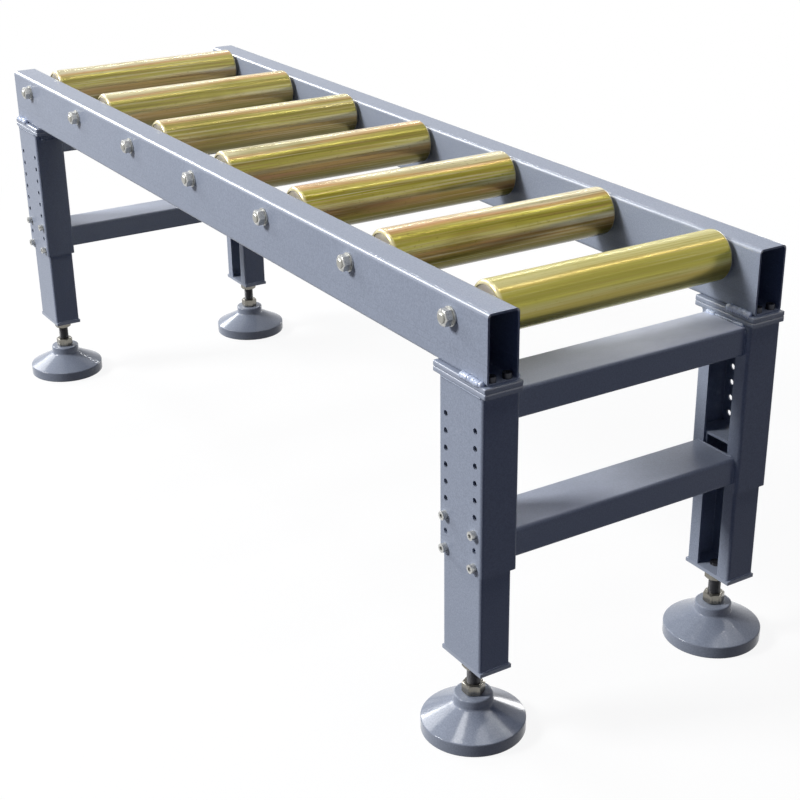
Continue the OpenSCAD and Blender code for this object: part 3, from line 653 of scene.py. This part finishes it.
class CONVEYOR_OT_weld(bpy.types.Operator):
    """Lay the weld beads between rails, plates, legs, crossbars and base plates"""
    bl_idname = "conveyor.weld"
    bl_label = "Weld"

    def execute(self, context):
        sizes = settings("sizes")
        # The weld beads' paint is made twice as light, as a painted highlight on the beads
        bright = painted("weld_paint_highlight", rough=0.12, gloss=1.0, light=2.0)
        plain = painted("seam_paint")
        self.frame_welds(sizes, bright, plain)
        for corner in CORNERS:
            self.base_weld(corner, sizes, plain)
        return {"FINISHED"}

    def frame_welds(self, sizes, bright, plain):
        rails, plates, legs, bars = bmesh.new(), bmesh.new(), bmesh.new(), bmesh.new()
        for seed, corner in enumerate(CORNERS):
            end, side = corner.split("_")
            leg_low, leg_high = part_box(f"outer_leg_{corner}")
            leg_middle = (leg_low + leg_high) / 2
            self.rail_beads(rails, end, side, leg_middle, sizes, seed)
            self.leg_beads(legs, leg_low, leg_high, ENDS[end], SIDES[side], sizes, seed)
            for bar in ("upper", "lower"):
                bar_low, bar_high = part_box(f"{bar}_crossbar_{end}")
                self.bar_beads(bars, bar_low, bar_high, SIDES[side], sizes, f"{bar} {seed}")
            self.plate_beads(plates, end, SIDES[side], sizes, seed)
        for name, mesh, finish in (("rail_welds", rails, bright), ("plate_welds", plates, bright),
                                   ("leg_welds", legs, plain), ("crossbar_welds", bars, plain)):
            smooth(finished_object(name, mesh, finish, "frame"))

    def rail_beads(self, mesh, end, side, leg_middle, sizes, seed):
        """Along both lower edges of the rail, over the half of the plate nearest the rail's end."""
        rail_low, rail_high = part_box(f"{side}_rail")
        radius = sizes.rail_weld
        tip = rail_high.x if end == "front" else rail_low.x
        for edge, inward in ((rail_low.y, 1), (rail_high.y, -1)):
            y = edge - inward * radius * RAIL_BEAD_OUT
            z = rail_low.z + radius * RAIL_BEAD_UP
            weld_bead(mesh, Vector((leg_middle.x, y, z)), Vector((tip - ENDS[end] * radius, y, z)), radius,
                      sizes.ripple, f"rail {seed} {inward}")

    def leg_beads(self, mesh, low, high, end, side, sizes, seed):
        """Around the top of the outer leg: thin on the outside, a fillet under the plate's inner end."""
        corner = sizes.profile_corner
        z = high.z - sizes.leg_weld * LEG_BEAD_DOWN
        web = high.y if side > 0 else low.y
        weld_bead(mesh, Vector((low.x + corner, web, z)), Vector((high.x - corner, web, z)), sizes.leg_weld,
                  sizes.ripple, f"web {seed}")
        outer, inner = (high.x, low.x) if end > 0 else (low.x, high.x)
        for x, radius, out in ((outer, sizes.leg_weld, 0), (inner, sizes.leg_fillet, -FILLET_OUT * end)):
            z = high.z - radius * LEG_BEAD_DOWN
            x += radius * out
            weld_bead(mesh, Vector((x, low.y + corner + radius, z)), Vector((x, high.y - corner - radius, z)),
                      radius, sizes.ripple, f"flange {seed} {out}")

    def bar_beads(self, mesh, low, high, side, sizes, seed):
        """Around the end of a crossbar, on the lips of the leg."""
        radius, corner = sizes.bar_weld, sizes.profile_corner
        y = (high.y if side > 0 else low.y) - side * radius * BAR_BEAD_IN
        for edge, z in enumerate((low.z, high.z)):
            weld_bead(mesh, Vector((low.x + corner, y, z)), Vector((high.x - corner, y, z)), radius,
                      sizes.ripple, f"bar {seed} {edge}")
        for edge, x in enumerate((low.x, high.x)):
            weld_bead(mesh, Vector((x, y, low.z + corner)), Vector((x, y, high.z - corner)), radius,
                      sizes.ripple, f"bar side {seed} {edge}")

    def plate_beads(self, mesh, end, side, sizes, seed):
        """Between the leg plate's inner edge and the crossbar: a blob at each end, thin between them."""
        bar_low, bar_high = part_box(f"upper_crossbar_{end}")
        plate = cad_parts[f"leg_plates_{end}"].data
        inner = min((point.co.y * side for point in plate.vertices if point.co.y * side > 0)) * side
        radius = sizes.plate_weld
        z = bar_high.z + radius * PLATE_BEAD_UP
        length = bar_high.x - bar_low.x
        for first, last, share in PLATE_BLOBS:
            weld_bead(mesh, Vector((bar_low.x + length * first, inner, z)),
                      Vector((bar_low.x + length * last, inner, z)), radius * share, sizes.ripple,
                      f"plate {seed} {first}")

    def base_weld(self, corner, sizes, finish):
        """Along both flanges of the inner leg, on its base plate."""
        low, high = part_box(f"inner_leg_{corner}")
        radius, bend = sizes.base_weld, sizes.profile_corner
        z = low.z + radius * BASE_BEAD_UP
        mesh = bmesh.new()
        for edge, x in enumerate((low.x, high.x)):
            weld_bead(mesh, Vector((x, low.y + bend, z)), Vector((x, high.y - bend, z)), radius, sizes.ripple,
                      f"base {corner} {edge}")
        smooth(finished_object(f"base_weld_{corner}", mesh, finish, f"leg_{corner}"))


class CONVEYOR_OT_thread_studs(bpy.types.Operator):
    """Cut the threads of the four levelling studs"""
    bl_idname = "conveyor.thread_studs"
    bl_label = "Thread studs"

    def execute(self, context):
        colours, sizes = settings("colours"), settings("sizes")
        hexagon_top = ring_height(f"levelling_stud_{CORNERS[0]}", sizes.stud_radius * PAST_THREAD, max)
        # The stud's dark colour is partly painted shade under the leg
        bare = {"Base Color": tuple(colours.stud_steel), "Metallic": 0.4, "Roughness": 0.2}
        finish = split_finish("stud_steel", hexagon_top, nickel_plate(), bare)
        for corner in CORNERS:
            self.thread(corner, hexagon_top, sizes, finish)
        return {"FINISHED"}

    def thread(self, corner, thread_low, sizes, finish):
        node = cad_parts[f"levelling_stud_{corner}"]
        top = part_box(node.name)[1].z
        foot_low, foot_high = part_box(f"foot_{corner}")
        middle = (foot_low + foot_high) / 2
        mesh = bmesh.new()
        mesh.from_mesh(node.data)
        bmesh.ops.remove_doubles(mesh, verts=mesh.verts, dist=MERGE)
        cut(mesh, thread_low, keep="below")
        helix = bmesh.new()
        pitch, depth = sizes.thread_pitch, sizes.thread_depth
        points = [helix.verts.new((middle.x + sizes.stud_radius - depth * dip, middle.y,
                                   thread_low + pitch * (rise - THREAD_SPARE)))
                  for rise, dip in THREAD_PROFILE]
        edges = [helix.edges.new(pair) for pair in zip(points, points[1:])]
        turns = math.ceil((top - thread_low) / pitch) + THREAD_SPARE + 1
        bmesh.ops.spin(helix, geom=points + edges, cent=(middle.x, middle.y, 0), axis=(0, 0, 1),
                       dvec=(0, 0, pitch / sizes.thread_steps), angle=2 * math.pi * turns,
                       steps=sizes.thread_steps * turns)
        bmesh.ops.remove_doubles(helix, verts=helix.verts, dist=MERGE * 2)
        cut(helix, thread_low, keep="above")
        cut(helix, top, keep="below")
        joined(mesh, helix)
        piece = finished_object(f"threaded_stud_{corner}", mesh, finish, f"stud_{corner}")
        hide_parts(node.name)


def cut(mesh, height, keep):
    """Cuts a mesh level at a height, drops one side and closes the cut."""
    geometry = mesh.verts[:] + mesh.edges[:] + mesh.faces[:]
    bmesh.ops.bisect_plane(mesh, geom=geometry, dist=CUT_SNAP, plane_co=(0, 0, height), plane_no=(0, 0, 1),
                           clear_outer=keep == "below", clear_inner=keep == "above")
    edges = [edge for edge in mesh.edges
             if edge.is_boundary and all(abs(vertex.co.z - height) < MERGE for vertex in edge.verts)]
    bmesh.ops.edgeloop_fill(mesh, edges=edges)


# Studio

# Where the lamps stand, seen from their target: azimuth from +X and elevation in degrees
KEY_FROM, RIM_FROM, FRONT_FROM = (-112, 34), (-161, 29), (20, 72)
STREAKS_FROM = {"streak_above": (-137, 75), "streak_left": (179, 23), "streak_right": (123, 9)}
STRIPS_FROM = {"strip_behind": (145, 31.7), "strip_overhead": (69.7, 58.5),
               "strip_ahead": (36.3, 34.1), "strip_low": (29.4, 4)}
# Distances and sizes of the lamps in metres
FAR, NEAR, STRIP_DISTANCE = 14, 6, 8
KEY_SIZE, RIM_SIZE, STREAK_SIZE = (3.6, 3.0), (7.5, 5.0), (1.0, 1.0)
FRONT_SIZE, STRIP_SIZE = (1.6, 1.6), (0.07, 3.5)
RIM_LEAN = 50  # degrees that the rim lamp leans, so that it lies along the rails' upper edges
OVERHEAD_SHARE = 0.8  # level of the overhead strip over that of the one behind

FLOOR_RADIUS = 40
FLOOR_BOUNCE = (0.05, 0.06, 0.09)  # the floor's colour for the light that it throws back
FADE_FROM, FADE_TO = 0.5, 1.3  # where the floor's shadow starts to fade and ends, over the conveyor's length
SHADOW_SHARE = 0.10  # how strongly the floor takes shadow under the conveyor


def lamp(name, target, direction, distance, size, level, lean=0):
    """An area lamp aimed at the target. At level 1 a facing surface renders as its written colour."""
    azimuth, elevation = (math.radians(angle) for angle in direction)
    data = bpy.data.lights.new(name, "AREA")
    data.shape = "RECTANGLE"
    data.size, data.size_y = size
    data.energy = level * math.pi ** 2 * distance ** 2
    flat = math.cos(elevation)
    away = Vector((flat * math.cos(azimuth), flat * math.sin(azimuth), math.sin(elevation)))
    piece = bpy.data.objects.new(name, data)
    piece.location = target + away * distance
    turn = away.to_track_quat("Z", "Y") @ Quaternion((0, 0, 1), math.radians(lean))
    piece.rotation_euler = turn.to_euler()
    bpy.context.scene.collection.objects.link(piece)


def along_rollers(azimuth, elevation):
    """The lean that turns a thin lamp's length along the rollers, seen from the conveyor."""
    azimuth, elevation = math.radians(azimuth), math.radians(elevation)
    return math.degrees(math.atan2(-math.cos(azimuth), -math.sin(elevation) * math.sin(azimuth)))


def seen_directly(tree):
    """1 for what the camera sees, straight on, in metal or through glass."""
    rays = tree.nodes.new("ShaderNodeLightPath")
    first = tree.nodes.new("ShaderNodeMath")
    first.operation = "MAXIMUM"
    second = tree.nodes.new("ShaderNodeMath")
    second.operation = "MAXIMUM"
    tree.links.new(rays.outputs["Is Camera Ray"], first.inputs[0])
    tree.links.new(rays.outputs["Is Glossy Ray"], first.inputs[1])
    tree.links.new(first.outputs[0], second.inputs[0])
    tree.links.new(rays.outputs["Is Transmission Ray"], second.inputs[1])
    return second.outputs[0]


class CONVEYOR_OT_studio(bpy.types.Operator):
    """Set the floor, the lamps, the surroundings and the camera"""
    bl_idname = "conveyor.studio"
    bl_label = "Studio"

    def execute(self, context):
        self.floor()
        self.lamps()
        self.surroundings(context.scene)
        self.camera(context.scene)
        return {"FINISHED"}

    def floor(self):
        mesh = bmesh.new()
        bmesh.ops.create_circle(mesh, cap_ends=True, segments=96, radius=FLOOR_RADIUS)
        data = bpy.data.meshes.new("floor")
        mesh.to_mesh(data)
        mesh.free()
        floor = bpy.data.objects.new("floor", data)
        bpy.context.scene.collection.objects.link(floor)
        material = bpy.data.materials.new("floor")
        material.use_nodes = True
        tree = material.node_tree
        tree.nodes.clear()
        white = tree.nodes.new("ShaderNodeEmission")
        white.inputs["Color"].default_value = (*settings("colours").backdrop, 1)
        shown = tree.nodes.new("ShaderNodeBsdfDiffuse")
        shown.inputs["Color"].default_value = (1, 1, 1, 1)
        quiet = tree.nodes.new("ShaderNodeBsdfDiffuse")
        quiet.inputs["Color"].default_value = (*FLOOR_BOUNCE, 1)
        pale = tree.nodes.new("ShaderNodeMixShader")
        tree.links.new(self.shadow_share(tree), pale.inputs[0])
        tree.links.new(white.outputs[0], pale.inputs[1])
        tree.links.new(shown.outputs[0], pale.inputs[2])
        both = tree.nodes.new("ShaderNodeMixShader")
        tree.links.new(seen_directly(tree), both.inputs[0])
        tree.links.new(quiet.outputs[0], both.inputs[1])
        tree.links.new(pale.outputs[0], both.inputs[2])
        output = tree.nodes.new("ShaderNodeOutputMaterial")
        tree.links.new(both.outputs[0], output.inputs["Surface"])
        data.materials.append(material)

    def shadow_share(self, tree):
        """How much the floor takes light and shadow: most near the object, nothing far from it."""
        reach = max(CAD_BOX[1][0] - CAD_BOX[0][0], CAD_BOX[1][1] - CAD_BOX[0][1])
        place = tree.nodes.new("ShaderNodeTexCoord")
        away = tree.nodes.new("ShaderNodeVectorMath")
        away.operation = "LENGTH"
        tree.links.new(place.outputs["Object"], away.inputs[0])
        fade = tree.nodes.new("ShaderNodeMapRange")
        tree.links.new(away.outputs["Value"], fade.inputs["Value"])
        fade.inputs["From Min"].default_value = reach * FADE_FROM
        fade.inputs["From Max"].default_value = reach * FADE_TO
        fade.inputs["To Min"].default_value = SHADOW_SHARE
        fade.inputs["To Max"].default_value = 0.0
        return fade.outputs["Result"]

    def lamps(self):
        studio = settings("studio")
        middle = Vector((0, 0, (CAD_BOX[0][2] + CAD_BOX[1][2]) / 2))
        foot_low, foot_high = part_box("foot_front_left")
        foot = (foot_low + foot_high) / 2
        lamp("key", middle, KEY_FROM, FAR, KEY_SIZE, studio.key)
        lamp("rim", middle, RIM_FROM, FAR, RIM_SIZE, studio.rim, lean=RIM_LEAN)
        for name, direction in STREAKS_FROM.items():
            lamp(name, foot, direction, NEAR, STREAK_SIZE, studio.streaks)
        lamp("front", middle, FRONT_FROM, NEAR, FRONT_SIZE, studio.front)
        levels = (studio.strips, studio.strips * OVERHEAD_SHARE, studio.low_strips, studio.low_strips)
        for (name, direction), level in zip(STRIPS_FROM.items(), levels):
            lamp(name, middle, direction, STRIP_DISTANCE, STRIP_SIZE, level, lean=along_rollers(*direction))

    def surroundings(self, scene):
        world = bpy.data.worlds.new("studio")
        world.use_nodes = True
        tree = world.node_tree
        background = tree.nodes["Background"]
        seen = tree.nodes.new("ShaderNodeBackground")
        seen.inputs["Color"].default_value = (*settings("colours").backdrop, 1)
        seen.inputs["Strength"].default_value = 1.0
        background.inputs["Color"].default_value = (*settings("colours").ambient, 1)
        background.inputs["Strength"].default_value = settings("studio").ambient
        both = tree.nodes.new("ShaderNodeMixShader")
        tree.links.new(seen_directly(tree), both.inputs[0])
        tree.links.new(background.outputs[0], both.inputs[1])
        tree.links.new(seen.outputs[0], both.inputs[2])
        tree.links.new(both.outputs[0], tree.nodes["World Output"].inputs["Surface"])
        scene.world = world
        scene.view_settings.view_transform = "Standard"

    def camera(self, scene):
        studio = settings("studio")
        data = bpy.data.cameras.new("camera")
        data.sensor_width = 36
        data.lens = studio.focal_share * data.sensor_width
        data.shift_x, data.shift_y = studio.shift
        data.clip_end = 200
        camera = bpy.data.objects.new("camera", data)
        turned = Matrix.Rotation(studio.azimuth, 4, "Z")
        tilted = Matrix.Rotation(math.pi / 2 - studio.elevation, 4, "X")
        look = turned @ tilted @ Matrix.Rotation(studio.roll, 4, "Z")
        camera.matrix_world = Matrix.Translation(studio.place) @ look
        scene.collection.objects.link(camera)
        scene.camera = camera


class CONVEYOR_PT_panel(bpy.types.Panel):
    """Steps and settings of the conveyor"""
    bl_idname = "CONVEYOR_PT_panel"
    bl_label = "Roller conveyor"
    bl_space_type = "VIEW_3D"
    bl_region_type = "UI"
    bl_category = "Conveyor"

    def draw(self, context):
        layout = self.layout
        for operator in OPERATORS:
            layout.operator(operator.bl_idname)
        for group in GROUPS:
            box = layout.box()
            values = settings(group)
            for name in values.__annotations__:
                box.prop(values, name)


GROUPS = {"colours": ConveyorColours, "sizes": ConveyorSizes, "studio": ConveyorStudio}
OPERATORS = (CONVEYOR_OT_paint, CONVEYOR_OT_plate_rollers, CONVEYOR_OT_plate_fasteners, CONVEYOR_OT_weld,
             CONVEYOR_OT_thread_studs, CONVEYOR_OT_studio)
CLASSES = (*GROUPS.values(), *OPERATORS, CONVEYOR_PT_panel)


def register():
    for item in CLASSES:
        bpy.utils.register_class(item)
    for name, group in GROUPS.items():
        setattr(bpy.types.Scene, f"conveyor_{name}", PointerProperty(type=group))


def unregister():
    for name in GROUPS:
        delattr(bpy.types.Scene, f"conveyor_{name}")
    for item in reversed(CLASSES):
        bpy.utils.unregister_class(item)


def main():
    register()
    bpy.ops.conveyor.paint()
    bpy.ops.conveyor.plate_rollers()
    bpy.ops.conveyor.plate_fasteners()
    bpy.ops.conveyor.weld()
    bpy.ops.conveyor.thread_studs()
    bpy.ops.conveyor.studio()


if __name__ == "__main__":
    main()
